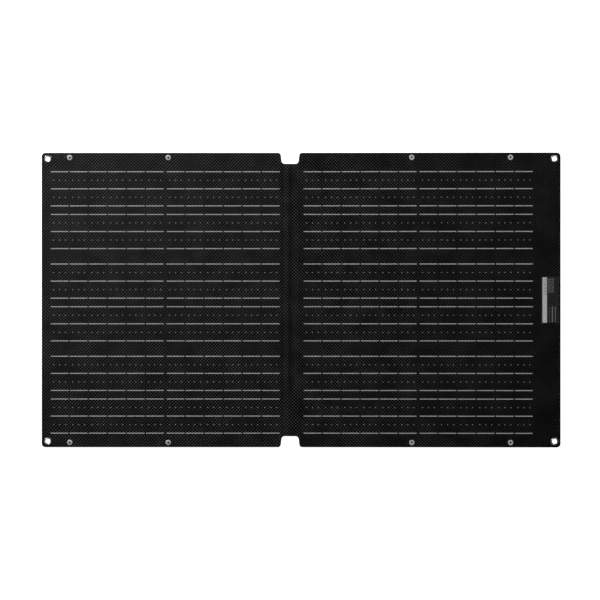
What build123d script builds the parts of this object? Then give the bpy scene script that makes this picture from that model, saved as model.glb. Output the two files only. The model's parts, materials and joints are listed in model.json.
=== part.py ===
"""Folding solar blanket: two stiff solar leaves joined by a soft hinge web, lying open.

Each leaf is a laminate of film, encapsulant, cell strips, board and cover. The right leaf carries a
junction box behind its outer margin, so it leans on the box and rises a little away from the fold.
"""

import os
from math import asin, atan2, cos, degrees, hypot, sin

from build123d import *

os.makedirs("parts", exist_ok=True)

# ---- Blanket outline, mm. "Reach" is a distance from the fold line.
BLANKET_WIDTH = 618.0
LEFT_REACH = 521.3
RIGHT_REACH = 567.1
CORNER_R = 8.0
NOTCH_DEPTH = 23.0
NOTCH_MOUTH_HALF = 20.0
NOTCH_FLOOR_HALF = 17.3
NOTCH_MOUTH_R = 6.0
NOTCH_FLOOR_R = 7.0
FOLD_GAP = 0.2  # each leaf's layers stop this far from the fold plane

# ---- Laminate, heights above the leaf's rear face
COVER_TOP = 0.5
BOARD_TOP = 1.7
CELL_BOTTOM = 2.2
REAR_ENCAPSULANT_TOP = 2.3
CELL_TOP = 2.4
FRONT_ENCAPSULANT_TOP = 2.7
FILM_TOP = 3.0
# ---- Hinge web: the layers leave the board at BOARD_START and come together at WEB_HALF
BOARD_START = 18.0
WEB_HALF = 13.0
WEB_BOTTOM = 0.8
WEB_MIDDLE = 1.3
WEB_TOP = 1.6
CLOSED_GAP = 3.4  # between the two films when the blanket is folded
AXIS_ABOVE_REAR = FILM_TOP + CLOSED_GAP / 2

# ---- Solar cells: strips cut from wafers, in three rows of twelve on each leaf
WAFER = 182.0
STRIP_WIDTH = 37.3
STRIP_PITCH = 40.0
STRIPS_PER_ROW = 12
MIDDLE_EXTRA = 3.3  # added between the sixth and seventh strips
LEFT_FIRST_STRIP = 21.8
RIGHT_FIRST_STRIP = 28.5
ROW_PITCH = 193.7
ROWS_MIDDLE_Y = -5.1
BUSBARS = 10
BUSBAR_PITCH = 17.93
SOLDERED_BUSBARS = (0, 2, 4, 5, 7, 9)

# ---- Ribbons
RIBBON_WIDTH = 1.8
RIBBON_T = 0.15
RIBBON_INSET = 0.3
RIBBON_BEND = 0.6
BUS_WIDTH = 3.0
BUS_BOTTOM = 1.75
BUS_T = 0.3
BUS_CLEAR = 0.6
RUN_WIDTH = 5.0
TOP_RUN_Y = 276.0
BOTTOM_RUN_Y = -286.5
LEAD_T = 0.25
RISER_REACH = 518.0
RISER_WIDTH = 4.0

# ---- Fasteners through the laminate
EYELET_BORE_R = 5.0
EYELET_BARREL_R = 5.5
EYELET_FLANGE_R = 7.8
EYELET_CROWN = 0.9  # height of the rolled rim above the film
EYELET_INSET = 12.9
WASHER_T = 0.35
CURL_T = 0.25
CURL_R = 6.8
SNAP_R = 5.5
SNAP_REACHES = (255.6, 462.4)
SNAP_Y = 299.0
SNAP_FOOT_T = 0.8  # the rear flanges of the snaps are what the blanket rests on
SNAP_FOOT_R = 5.2
SNAP_BARREL_R = 1.6
SNAP_BARREL_TOP = FILM_TOP + 0.3
STUD_SHOULDER = FILM_TOP + 0.45
STUD_CROWN = FILM_TOP + 0.9
STUD_POST_R = 2.1
STUD_LIP_R = 2.25
STUD_TOP = FILM_TOP + 2.4
STUD_HOLLOW_R = 1.65
STUD_FLOOR = FILM_TOP + 0.6
SOCKET_FLOOR = FILM_TOP + 0.8
SOCKET_SHOULDER = FILM_TOP + 1.75
SOCKET_CROWN = FILM_TOP + 2.1
SOCKET_HOLE_R = 2.45
SOCKET_GROOVE_R = 3.6
SOCKET_GROOVE = SOCKET_FLOOR + 0.1
SPRING_R = 3.0
SPRING_WIRE_R = 0.25
HOLE_PLAY = 0.1  # between a barrel and the laminate's hole

# ---- Junction box behind the right leaf's outer margin, depths below the rear face
BOX_REACH = 538.0
BOX_WIDTH = 44.0
BOX_LENGTH = 100.0
BOX_R = 5.0
BOX_WALL = 2.0
PAD_T = 0.5
BOX_CEILING = 2.5
BASE_DEPTH = 13.5
BOX_DEPTH = 16.0
LID_EDGE_R = 1.0
BOSS_R = 3.2
BOSS_INSET = 4.6
GASKET_WIDTH = 0.9
GASKET_T = 0.8
BOARD_DEPTH = 4.9
BOARD_T = 1.2
BOARD_SIZE = (34.0, 56.0)
BOARD_Y = 14.0
BOARD_POST_R = 2.5
BOARD_POST_INSET = 4.0
LEAD_OUT_YS = (24.0, 8.0)
LEAD_OUT_REACH = 529.0
LEAD_OUT_WIDTH = 6.0
LEAD_OUT_T = 0.3
LEAD_OUT_FOOT = 4.0
SLOT_PLAY = 0.35
LID_SCREW = {"head_r": 2.2, "head_t": 1.2, "shank_r": 0.9, "hold": 7.5}
BOARD_SCREW = {"head_r": 1.5, "head_t": 0.9, "shank_r": 0.6, "hold": 1.8}
HEAD_PLAY = 0.2
DIODE = (5.4, 7.6, 2.3)
DIODE_XS = (-8.0, 8.0)
DIODE_Y = 26.0
POLE_X = 2.8  # distance between the two poles
TAB_Y = -10.0
TAB = (2.2, 0.8, 3.4)
WIRE_R = 0.8

# ---- Output socket in the box's end wall
SOCKET_DEPTH = 8.0
PLUG_R = 3.0
SHELL_R = 4.0
SHELL_FLANGE_R = 6.2
SHELL_FLANGE_T = 2.5
SHELL_INSIDE = 12.0
PLUG_ENGAGEMENT = 8.0
INSERT_R = 3.2
CONTACT_R = 0.75
CONTACT_BORE_R = 0.45
CONTACT_TAIL = 3.0
NUT_R = 5.3
NUT_T = 2.4
FIT = 0.05  # radial play between pieces that are pushed together by hand

# ---- Label on the front of the right margin
LABEL_REACH = 544.9
LABEL_SIZE = (38.3, 98.0)
LABEL_T = 0.12

HALF_WIDTH = BLANKET_WIDTH / 2
NOTCH_FLOOR_Y = HALF_WIDTH - NOTCH_DEPTH
AXIS_Z = SNAP_FOOT_T + AXIS_ABOVE_REAR
LAMINATE_CLEAR = 10.0  # longer than any layer is thick

# The right leaf leans on the rounded inner edge of the junction box's lid.
edge_reach = BOX_REACH - BOX_WIDTH / 2 + LID_EDGE_R
edge_below = AXIS_ABOVE_REAR + BOX_DEPTH - LID_EDGE_R
edge_distance = hypot(edge_reach, edge_below)
TILT = atan2(edge_below, edge_reach) - asin((AXIS_Z - LID_EDGE_R) / edge_distance)

right_extent = RIGHT_REACH * cos(TILT) + AXIS_ABOVE_REAR * sin(TILT)
FOLD_X = (LEFT_REACH - right_extent) / 2


class Leaf:
    """One half of the blanket: its side of the fold, its size and the plane of its rear face."""

    def __init__(self, name, side, reach, first_strip, tilt):
        self.name = name
        self.side = side
        self.reach = reach
        self.first_strip = first_strip
        across = (cos(tilt), 0, sin(tilt))
        fold_axis = Plane(origin=(FOLD_X, 0, AXIS_Z), x_dir=across, z_dir=(-sin(tilt), 0, cos(tilt)))
        self.rear = fold_axis.offset(-AXIS_ABOVE_REAR)
        self.section = Plane(origin=self.rear.origin, x_dir=across, z_dir=(0, -1, 0))

    def at(self, reach, y):
        """A place on the leaf, from its distance to the fold line and its y."""
        return (self.side * reach, y)

    def section_at(self, y):
        """The cross-section plane through y, with the fold line at its x = 0."""
        return self.section.offset(-y)

    def eyelet_places(self):
        edge = HALF_WIDTH - EYELET_INSET
        return [self.at(self.reach - EYELET_INSET, y) for y in (-edge, edge)]

    def snap_places(self):
        return [self.at(reach, y) for reach in SNAP_REACHES for y in (-SNAP_Y, SNAP_Y)]

    def strip_start(self, number):
        """The reach of a strip's edge nearer the fold; strips are counted outwards."""
        extra = MIDDLE_EXTRA if number >= STRIPS_PER_ROW // 2 else 0
        return self.first_strip + number * STRIP_PITCH + extra

    def last_strip_end(self):
        return self.strip_start(STRIPS_PER_ROW - 1) + STRIP_WIDTH


LEFT = Leaf("left", -1, LEFT_REACH, LEFT_FIRST_STRIP, 0)
RIGHT = Leaf("right", 1, RIGHT_REACH, RIGHT_FIRST_STRIP, TILT)
ROW_YS = [ROWS_MIDDLE_Y + step * ROW_PITCH for step in (1, 0, -1)]
LINE_YS = [BUSBAR_PITCH * (number - (BUSBARS - 1) / 2) for number in SOLDERED_BUSBARS]
LINE_EDGE = BUSBAR_PITCH * (BUSBARS - 1) / 2 + RIBBON_WIDTH / 2


def save(piece, name):
    piece.label = name
    export_step(piece, f"parts/{name}.step")
    return piece


def slab(leaf, section):
    """A layer with the leaf's outline. Its section is a list of (reach, height) corners."""
    with BuildPart() as layer:
        with BuildSketch(leaf.section):
            with BuildLine():
                Polyline(*[leaf.at(*corner) for corner in section], close=True)
            make_face()
        extrude(amount=HALF_WIDTH, both=True)
        with BuildSketch(leaf.rear):
            with BuildLine():
                edge = FilletPolyline(
                    leaf.at(FOLD_GAP, -NOTCH_FLOOR_Y),
                    leaf.at(NOTCH_FLOOR_HALF, -NOTCH_FLOOR_Y),
                    leaf.at(NOTCH_MOUTH_HALF, -HALF_WIDTH),
                    leaf.at(leaf.reach, -HALF_WIDTH),
                    leaf.at(leaf.reach, HALF_WIDTH),
                    leaf.at(NOTCH_MOUTH_HALF, HALF_WIDTH),
                    leaf.at(NOTCH_FLOOR_HALF, NOTCH_FLOOR_Y),
                    leaf.at(FOLD_GAP, NOTCH_FLOOR_Y),
                    radius=[NOTCH_FLOOR_R, NOTCH_MOUTH_R, CORNER_R, CORNER_R, NOTCH_MOUTH_R, NOTCH_FLOOR_R],
                )
                Line(edge @ 1, edge @ 0)
            make_face()
        extrude(amount=LAMINATE_CLEAR, mode=Mode.INTERSECT)
        with BuildSketch(leaf.rear):
            with Locations(*leaf.eyelet_places()):
                Circle(EYELET_BARREL_R + HOLE_PLAY)
            with Locations(*leaf.snap_places()):
                Circle(SNAP_BARREL_R + HOLE_PLAY)
        extrude(amount=LAMINATE_CLEAR, mode=Mode.SUBTRACT)
    return layer.part


def slot_cutters(top, bottom):
    """The two slots that the lead-outs pass through, between two heights on the right leaf."""
    with BuildPart() as slots:
        with BuildSketch(RIGHT.rear.offset(bottom)):
            with Locations(*[(LEAD_OUT_REACH + LEAD_OUT_T / 2, y) for y in LEAD_OUT_YS]):
                Rectangle(LEAD_OUT_T + 2 * SLOT_PLAY, LEAD_OUT_WIDTH + 2 * SLOT_PLAY)
        extrude(amount=top - bottom)
    return slots.part


def cut(piece, *cutters):
    with BuildPart() as result:
        add(piece)
        for cutter in cutters:
            add(cutter, mode=Mode.SUBTRACT)
    return result.part


# ---- Cells and the conductors between them


def cells(leaf):
    centres = [leaf.strip_start(number) + STRIP_WIDTH / 2 for number in range(STRIPS_PER_ROW)]
    with BuildPart() as strips:
        with BuildSketch(leaf.rear.offset(CELL_BOTTOM)):
            with Locations(*[leaf.at(centre, y) for centre in centres for y in ROW_YS]):
                Rectangle(STRIP_WIDTH, WAFER)
        extrude(amount=CELL_TOP - CELL_BOTTOM)
    return strips.part


def row_strips(leaf, row):
    """Strip edges (first, last) in the order the current takes: inwards, outwards, inwards."""
    starts = [leaf.strip_start(number) for number in range(STRIPS_PER_ROW)]
    edges = [(start, start + STRIP_WIDTH) for start in starts]
    if row == 1:
        return edges, 1
    return [(end, start) for start, end in reversed(edges)], -1


def ribbon_sections(leaf, row):
    """Sections of one line's ribbons: each lies on one strip, dips, and runs under the next."""
    edges, onwards = row_strips(leaf, row)
    inset = onwards * RIBBON_INSET
    low = CELL_BOTTOM - RIBBON_T
    past_bus = onwards * (BUS_CLEAR + BUS_WIDTH)
    first, last = edges[0], edges[-1]
    under = [(first[0] - past_bus, low), (first[1] - inset, low)]
    sections = [under + [(under[1][0], CELL_BOTTOM), (under[0][0], CELL_BOTTOM)]]
    for number, (start, end) in enumerate(edges):
        bend = end + onwards * RIBBON_INSET / 2
        dip = bend + onwards * RIBBON_BEND
        stop = last[1] + past_bus if end == last[1] else edges[number + 1][1] - inset
        below = [(start + inset, CELL_TOP), (bend, CELL_TOP), (dip, low), (stop, low)]
        above = [(reach, height + RIBBON_T) for reach, height in reversed(below)]
        sections.append(below + above)
    return sections


def cell_ribbons(leaf):
    with BuildPart() as ribbons:
        for row, row_y in enumerate(ROW_YS):
            for line_y in LINE_YS:
                with BuildSketch(leaf.section_at(row_y + line_y)):
                    for section in ribbon_sections(leaf, row):
                        with BuildLine():
                            Polyline(*[leaf.at(*corner) for corner in section], close=True)
                        make_face()
                extrude(amount=RIBBON_WIDTH / 2, both=True)
    return ribbons.part


def line_channels(leaf):
    """Straight channels for the ribbons, one along each line, from end bar to end bar."""
    near = leaf.first_strip - BUS_CLEAR - BUS_WIDTH
    far = leaf.last_strip_end() + BUS_CLEAR + BUS_WIDTH
    with BuildPart() as channels:
        with BuildSketch(leaf.rear.offset(CELL_BOTTOM - RIBBON_T)):
            with Locations(*[leaf.at((near + far) / 2, row + line) for row in ROW_YS for line in LINE_YS]):
                Rectangle(far - near, RIBBON_WIDTH)
        extrude(amount=CELL_TOP - CELL_BOTTOM + 2 * RIBBON_T)
    return channels.part


def bus_ribbons(leaf):
    """Bars that join the rows one after another, and the runs that carry both poles away."""
    inner = (leaf.first_strip - BUS_CLEAR - BUS_WIDTH, leaf.first_strip - BUS_CLEAR)
    outer = (leaf.last_strip_end() + BUS_CLEAR, leaf.last_strip_end() + BUS_CLEAR + BUS_WIDTH)
    lead = BOARD_START + FOLD_GAP
    half_run = RUN_WIDTH / 2
    top, middle, bottom = ROW_YS
    spans = [
        (*outer, top - LINE_EDGE, TOP_RUN_Y + half_run),
        (lead, outer[1], TOP_RUN_Y - half_run, TOP_RUN_Y + half_run),
        (*inner, middle - LINE_EDGE, top + LINE_EDGE),
        (*outer, bottom - LINE_EDGE, middle + LINE_EDGE),
        (*inner, bottom - LINE_EDGE, bottom + LINE_EDGE),
        (lead, inner[1], bottom - half_run, bottom + half_run),
    ]
    if leaf is RIGHT:
        riser = (RISER_REACH - RISER_WIDTH / 2, RISER_REACH + RISER_WIDTH / 2)
        half_tab = LEAD_OUT_WIDTH / 2
        upper, lower = LEAD_OUT_YS
        spans += [
            (outer[0], riser[1], TOP_RUN_Y - half_run, TOP_RUN_Y + half_run),
            (*riser, upper - half_tab, TOP_RUN_Y),
            (riser[0], LEAD_OUT_REACH + LEAD_OUT_T, upper - half_tab, upper + half_tab),
            (*inner, BOTTOM_RUN_Y - half_run, bottom),
            (inner[0], riser[1], BOTTOM_RUN_Y - half_run, BOTTOM_RUN_Y + half_run),
            (*riser, BOTTOM_RUN_Y, lower + half_tab),
            (riser[0], LEAD_OUT_REACH + LEAD_OUT_T, lower - half_tab, lower + half_tab),
        ]
    with BuildPart() as ribbons:
        with BuildSketch(leaf.rear.offset(BUS_BOTTOM)):
            for near, far, low, high in spans:
                with Locations(leaf.at((near + far) / 2, (low + high) / 2)):
                    Rectangle(far - near, high - low)
        extrude(amount=BUS_T)
    return ribbons.part


def hinge_leads(leaf):
    """Each leaf's half of the two flat leads that cross the web, one for each pole."""
    start = BOARD_START + FOLD_GAP
    section = [
        (start, BUS_BOTTOM),
        (BOARD_START, BUS_BOTTOM),
        (WEB_HALF, WEB_MIDDLE - LEAD_T),
        (FOLD_GAP, WEB_MIDDLE - LEAD_T),
        (FOLD_GAP, WEB_MIDDLE),
        (WEB_HALF, WEB_MIDDLE),
        (BOARD_START, BUS_BOTTOM + BUS_T),
        (start, BUS_BOTTOM + BUS_T),
    ]
    with BuildPart() as leads:
        for y in (TOP_RUN_Y, ROW_YS[2]):
            with BuildSketch(leaf.section_at(y)):
                with BuildLine():
                    Polyline(*[leaf.at(*corner) for corner in section], close=True)
                make_face()
            extrude(amount=RUN_WIDTH / 2, both=True)
    return leads.part


# ---- Layers of the laminate


def front_film(leaf):
    return slab(leaf, [
        (FOLD_GAP, WEB_MIDDLE),
        (WEB_HALF, WEB_MIDDLE),
        (BOARD_START, FRONT_ENCAPSULANT_TOP),
        (leaf.reach, FRONT_ENCAPSULANT_TOP),
        (leaf.reach, FILM_TOP),
        (BOARD_START, FILM_TOP),
        (WEB_HALF, WEB_TOP),
        (FOLD_GAP, WEB_TOP),
    ])


def front_encapsulant(leaf, *held):
    sheet = slab(leaf, [
        (WEB_HALF, WEB_MIDDLE),
        (BOARD_START, REAR_ENCAPSULANT_TOP),
        (leaf.reach, REAR_ENCAPSULANT_TOP),
        (leaf.reach, FRONT_ENCAPSULANT_TOP),
        (BOARD_START, FRONT_ENCAPSULANT_TOP),
    ])
    return cut(sheet, *held)


def rear_encapsulant(leaf, *held):
    sheet = slab(leaf, [
        (WEB_HALF, WEB_MIDDLE),
        (BOARD_START, COVER_TOP),
        (BOARD_START, BOARD_TOP),
        (leaf.reach, BOARD_TOP),
        (leaf.reach, REAR_ENCAPSULANT_TOP),
        (BOARD_START, REAR_ENCAPSULANT_TOP),
    ])
    return cut(sheet, *held)


def backing_board(leaf):
    return slab(leaf, [
        (BOARD_START, COVER_TOP),
        (leaf.reach, COVER_TOP),
        (leaf.reach, BOARD_TOP),
        (BOARD_START, BOARD_TOP),
    ])


def rear_cover(leaf, leads):
    sheet = slab(leaf, [
        (FOLD_GAP, WEB_BOTTOM),
        (WEB_HALF, WEB_BOTTOM),
        (BOARD_START, 0),
        (leaf.reach, 0),
        (leaf.reach, COVER_TOP),
        (BOARD_START, COVER_TOP),
        (WEB_HALF, WEB_MIDDLE),
        (FOLD_GAP, WEB_MIDDLE),
    ])
    return cut(sheet, leads)


# ---- Fasteners, each turned about its own axis and then set in its places


def turned(outline, crown=None):
    """A ring or pin with the given (radius, height) outline, turned about +Z.

    With a crown height, an arc that rises to it closes the outline between its last point and its first.
    """
    with BuildPart() as piece:
        with BuildSketch(Plane.XZ):
            with BuildLine():
                Polyline(*outline, close=crown is None)
                if crown:
                    ThreePointArc(outline[-1], ((outline[-1][0] + outline[0][0]) / 2, crown), outline[0])
            make_face()
        revolve(axis=Axis.Z)
    return piece.part


def placed(leaf, piece, places):
    with BuildPart(leaf.rear) as group:
        with Locations(*places):
            add(piece)
    return group.part


def eyelet():
    """Barrel with a rolled rim in front, curled over the washer behind."""
    curl = -WASHER_T - CURL_T
    outline = [
        (EYELET_BORE_R, FILM_TOP),
        (EYELET_BORE_R, curl),
        (CURL_R, curl),
        (CURL_R, -WASHER_T),
        (EYELET_BARREL_R, -WASHER_T),
        (EYELET_BARREL_R, FILM_TOP),
        (EYELET_FLANGE_R, FILM_TOP),
    ]
    return turned(outline, crown=FILM_TOP + EYELET_CROWN)


def eyelet_washer():
    inner = EYELET_BARREL_R + HOLE_PLAY
    return turned([(inner, -WASHER_T), (EYELET_FLANGE_R, -WASHER_T), (EYELET_FLANGE_R, 0), (inner, 0)])


def snap_foot():
    """Rear flange and barrel of a snap."""
    edge = SNAP_FOOT_T / 2
    return turned([
        (0, -SNAP_FOOT_T),
        (SNAP_FOOT_R - edge, -SNAP_FOOT_T),
        (SNAP_FOOT_R, -edge),
        (SNAP_FOOT_R, 0),
        (SNAP_BARREL_R, 0),
        (SNAP_BARREL_R, SNAP_BARREL_TOP),
        (0, SNAP_BARREL_TOP),
    ])


def snap_stud():
    """Domed base with a hollow post that goes into the socket."""
    lip = STUD_LIP_R - STUD_POST_R
    outline = [
        (STUD_POST_R, STUD_SHOULDER),
        (STUD_POST_R, STUD_TOP - 4 * lip),
        (STUD_LIP_R, STUD_TOP - 3 * lip),
        (STUD_LIP_R, STUD_TOP - lip),
        (STUD_POST_R, STUD_TOP),
        (STUD_HOLLOW_R, STUD_TOP),
        (STUD_HOLLOW_R, STUD_FLOOR),
        (0, STUD_FLOOR),
        (0, SNAP_BARREL_TOP + FIT),
        (SNAP_BARREL_R + FIT, SNAP_BARREL_TOP + FIT),
        (SNAP_BARREL_R + FIT, FILM_TOP),
        (SNAP_R, FILM_TOP),
        (SNAP_R, STUD_SHOULDER),
    ]
    return turned(outline, crown=STUD_CROWN)


def snap_socket():
    """Domed ring with a groove inside for the spring."""
    groove_top = SOCKET_GROOVE + 3 * SPRING_WIRE_R
    outline = [
        (SOCKET_HOLE_R, SOCKET_SHOULDER),
        (SOCKET_HOLE_R, groove_top),
        (SOCKET_GROOVE_R, groove_top),
        (SOCKET_GROOVE_R, SOCKET_GROOVE),
        (SOCKET_HOLE_R, SOCKET_GROOVE),
        (SOCKET_HOLE_R, SOCKET_FLOOR),
        (0, SOCKET_FLOOR),
        (0, SNAP_BARREL_TOP + FIT),
        (SNAP_BARREL_R + FIT, SNAP_BARREL_TOP + FIT),
        (SNAP_BARREL_R + FIT, FILM_TOP),
        (SNAP_R, FILM_TOP),
        (SNAP_R, SOCKET_SHOULDER),
    ]
    return turned(outline, crown=SOCKET_CROWN)


def snap_spring():
    """An open ring of wire that lies in the socket's groove."""
    with BuildPart() as spring:
        with BuildSketch(Plane.XZ):
            with Locations((SPRING_R, SOCKET_GROOVE + SPRING_WIRE_R)):
                Circle(SPRING_WIRE_R)
        revolve(axis=Axis.Z, revolution_arc=320)
    return spring.part


# ---- Junction box


def box_plane(depth):
    """A plane at a depth below the right leaf's rear face, centred on the box."""
    return Plane(
        origin=RIGHT.rear.offset(-depth).from_local_coords((BOX_REACH, 0, 0)),
        x_dir=RIGHT.rear.x_dir,
        z_dir=RIGHT.rear.z_dir,
    )


def boss_grid():
    return GridLocations(BOX_WIDTH - 2 * BOSS_INSET, BOX_LENGTH - 2 * BOSS_INSET, 2, 2)


def board_post_places():
    half_x = BOARD_SIZE[0] / 2 - BOARD_POST_INSET
    half_y = BOARD_SIZE[1] / 2 - BOARD_POST_INSET
    return [(x, BOARD_Y + y) for x in (-half_x, half_x) for y in (-half_y, half_y)]


def socket_plane(out):
    """A plane across the socket's axis, a distance out from the box's end wall."""
    return Plane(
        origin=box_plane(SOCKET_DEPTH).from_local_coords((0, -BOX_LENGTH / 2 - out, 0)),
        x_dir=RIGHT.rear.x_dir,
        z_dir=(0, 1, 0),
    )


def box_pad():
    with BuildPart() as pad:
        with BuildSketch(box_plane(PAD_T)):
            RectangleRounded(BOX_WIDTH, BOX_LENGTH, BOX_R)
        extrude(amount=PAD_T)
        add(slot_cutters(0, -PAD_T), mode=Mode.SUBTRACT)
    return pad.part


def box_base():
    """The box's tray, open downwards, with screw bosses, board posts and the socket's hole."""
    inner_r = BOX_R - BOX_WALL
    with BuildPart() as base:
        with BuildSketch(box_plane(PAD_T)):
            RectangleRounded(BOX_WIDTH, BOX_LENGTH, BOX_R)
        extrude(amount=PAD_T - BASE_DEPTH)
        with BuildSketch(box_plane(BOX_CEILING)):
            RectangleRounded(BOX_WIDTH - 2 * BOX_WALL, BOX_LENGTH - 2 * BOX_WALL, inner_r)
        extrude(amount=BOX_CEILING - BASE_DEPTH, mode=Mode.SUBTRACT)
        with BuildSketch(box_plane(BOX_CEILING)):
            with boss_grid():
                Circle(BOSS_R)
        extrude(amount=BOX_CEILING - BASE_DEPTH)
        with BuildSketch(box_plane(BOX_CEILING)):
            with Locations(*board_post_places()):
                Circle(BOARD_POST_R)
        extrude(amount=BOX_CEILING - BOARD_DEPTH)
        with BuildSketch(box_plane(BASE_DEPTH)):
            with boss_grid():
                Circle(LID_SCREW["shank_r"] + FIT)
        extrude(amount=LID_SCREW["hold"] + FIT, mode=Mode.SUBTRACT)
        with BuildSketch(box_plane(BOARD_DEPTH)):
            with Locations(*board_post_places()):
                Circle(BOARD_SCREW["shank_r"] + FIT)
        extrude(amount=BOARD_SCREW["hold"] + FIT, mode=Mode.SUBTRACT)
        with BuildSketch(box_plane(BASE_DEPTH)):
            add(gasket_face(FIT))
        extrude(amount=GASKET_T, mode=Mode.SUBTRACT)
        with BuildSketch(socket_plane(0)):
            Circle(SHELL_R + FIT)
        extrude(amount=BOX_WALL, mode=Mode.SUBTRACT)
        add(slot_cutters(-PAD_T, -BOX_CEILING), mode=Mode.SUBTRACT)
    return base.part


def gasket_face(play):
    """The seal's path along the middle of the box's wall."""
    out = (BOX_WALL - GASKET_WIDTH) / 2 - play
    inside = (BOX_WALL + GASKET_WIDTH) / 2 + play
    with BuildSketch() as face:
        RectangleRounded(BOX_WIDTH - 2 * out, BOX_LENGTH - 2 * out, BOX_R - out)
        RectangleRounded(BOX_WIDTH - 2 * inside, BOX_LENGTH - 2 * inside, BOX_R - inside, mode=Mode.SUBTRACT)
    return face.sketch


def box_gasket():
    with BuildPart() as gasket:
        with BuildSketch(box_plane(BASE_DEPTH)):
            add(gasket_face(0))
        extrude(amount=GASKET_T)
    return gasket.part


def box_lid():
    with BuildPart() as lid:
        with BuildSketch(box_plane(BOX_DEPTH)):
            RectangleRounded(BOX_WIDTH, BOX_LENGTH, BOX_R)
        extrude(amount=BOX_DEPTH - BASE_DEPTH)
        fillet(lid.faces().sort_by(Axis.Z)[0].edges(), radius=LID_EDGE_R)
        with BuildSketch(box_plane(BOX_DEPTH)):
            with boss_grid():
                Circle(LID_SCREW["head_r"] + HEAD_PLAY)
        extrude(amount=LID_SCREW["head_t"], mode=Mode.SUBTRACT)
        with BuildSketch(box_plane(BOX_DEPTH)):
            with boss_grid():
                Circle(LID_SCREW["shank_r"] + HEAD_PLAY)
        extrude(amount=BOX_DEPTH - BASE_DEPTH, mode=Mode.SUBTRACT)
    return lid.part


def screw(size, seat, tip):
    """A screw driven upwards: its head sits below the depth `seat`, its tip is at the depth `tip`."""
    head = -seat - size["head_t"]
    slot = size["head_r"] * 1.2
    with BuildPart() as piece:
        add(turned([
            (0, head),
            (size["head_r"] * 0.8, head),
            (size["head_r"], head + size["head_t"] / 2),
            (size["head_r"], -seat),
            (size["shank_r"], -seat),
            (size["shank_r"], -tip),
            (0, -tip),
        ]))
        with BuildSketch(Plane.XY.offset(head)):
            Rectangle(slot, slot / 4)
            Rectangle(slot / 4, slot)
        extrude(amount=size["head_t"] / 2, mode=Mode.SUBTRACT)
    return piece.part


def in_box(places):
    """Places given from the box's centre, as places on the right leaf."""
    return [(BOX_REACH + x, y) for x, y in places]


def lid_screws():
    x = BOX_WIDTH / 2 - BOSS_INSET
    y = BOX_LENGTH / 2 - BOSS_INSET
    seat = BOX_DEPTH - LID_SCREW["head_t"]
    piece = screw(LID_SCREW, seat, BASE_DEPTH - LID_SCREW["hold"])
    return placed(RIGHT, piece, in_box([(x, y), (-x, y), (x, -y), (-x, -y)]))


def board_screws():
    piece = screw(BOARD_SCREW, BOARD_DEPTH + BOARD_T, BOARD_DEPTH - BOARD_SCREW["hold"])
    return placed(RIGHT, piece, in_box(board_post_places()))


def circuit_board():
    with BuildPart() as board:
        with BuildSketch(box_plane(BOARD_DEPTH + BOARD_T)):
            with Locations((0, BOARD_Y)):
                Rectangle(*BOARD_SIZE)
            with Locations(*board_post_places()):
                Circle(BOARD_SCREW["shank_r"] + HEAD_PLAY, mode=Mode.SUBTRACT)
        extrude(amount=BOARD_T)
    return board.part


def blocking_diodes():
    """One flat-pack diode for each leaf, with a solder tab at each end."""
    length, width, height = DIODE
    below_board = box_plane(BOARD_DEPTH + BOARD_T)
    with BuildPart() as diodes:
        with BuildSketch(below_board):
            with Locations(*[(x, DIODE_Y) for x in DIODE_XS]):
                Rectangle(length, width)
        extrude(amount=-height)
        with BuildSketch(below_board):
            with Locations(*[(x, DIODE_Y) for x in DIODE_XS]):
                Rectangle(length * 0.6, width * 1.3)
        extrude(amount=-height / 4)
    return diodes.part


def terminal_tabs():
    width, thickness, height = TAB
    with BuildPart() as tabs:
        with BuildSketch(box_plane(BOARD_DEPTH + BOARD_T)):
            with Locations((-POLE_X / 2, TAB_Y), (POLE_X / 2, TAB_Y)):
                Rectangle(width, thickness)
        extrude(amount=-height)
    return tabs.part


def lead_outs():
    """Flat leads from the bus ribbons, down through the slots, with a foot on the circuit board."""
    near, far = LEAD_OUT_REACH, LEAD_OUT_REACH + LEAD_OUT_T
    foot = far + LEAD_OUT_FOOT
    section = [
        (near, BUS_BOTTOM),
        (far, BUS_BOTTOM),
        (far, LEAD_OUT_T - BOARD_DEPTH),
        (foot, LEAD_OUT_T - BOARD_DEPTH),
        (foot, -BOARD_DEPTH),
        (near, -BOARD_DEPTH),
    ]
    with BuildPart() as leads:
        for y in LEAD_OUT_YS:
            with BuildSketch(RIGHT.section_at(y)):
                with BuildLine():
                    Polyline(*section, close=True)
                make_face()
            extrude(amount=LEAD_OUT_WIDTH / 2, both=True)
    return leads.part


# ---- Output socket: a round two-pole socket with its mouth in the box's end wall


def poles():
    return Locations((-POLE_X / 2, 0), (POLE_X / 2, 0))


def socket_shell():
    with BuildPart() as shell:
        with BuildSketch(socket_plane(SHELL_FLANGE_T)):
            Circle(SHELL_FLANGE_R)
        extrude(amount=SHELL_FLANGE_T)
        with BuildSketch(socket_plane(0)):
            Circle(SHELL_R)
        extrude(amount=SHELL_INSIDE)
        with BuildSketch(socket_plane(SHELL_FLANGE_T)):
            Circle(PLUG_R)
        extrude(amount=PLUG_ENGAGEMENT, mode=Mode.SUBTRACT)
        with BuildSketch(socket_plane(SHELL_FLANGE_T - PLUG_ENGAGEMENT)):
            Circle(INSERT_R + FIT)
        extrude(amount=SHELL_INSIDE, mode=Mode.SUBTRACT)
        chamfer(shell.faces().sort_by(Axis.Y)[0].edges(), length=0.3)
    return shell.part


def socket_nut():
    with BuildPart() as nut:
        with BuildSketch(socket_plane(-BOX_WALL)):
            RegularPolygon(NUT_R, 6)
            Circle(SHELL_R + FIT, mode=Mode.SUBTRACT)
        extrude(amount=NUT_T)
    return nut.part


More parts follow.
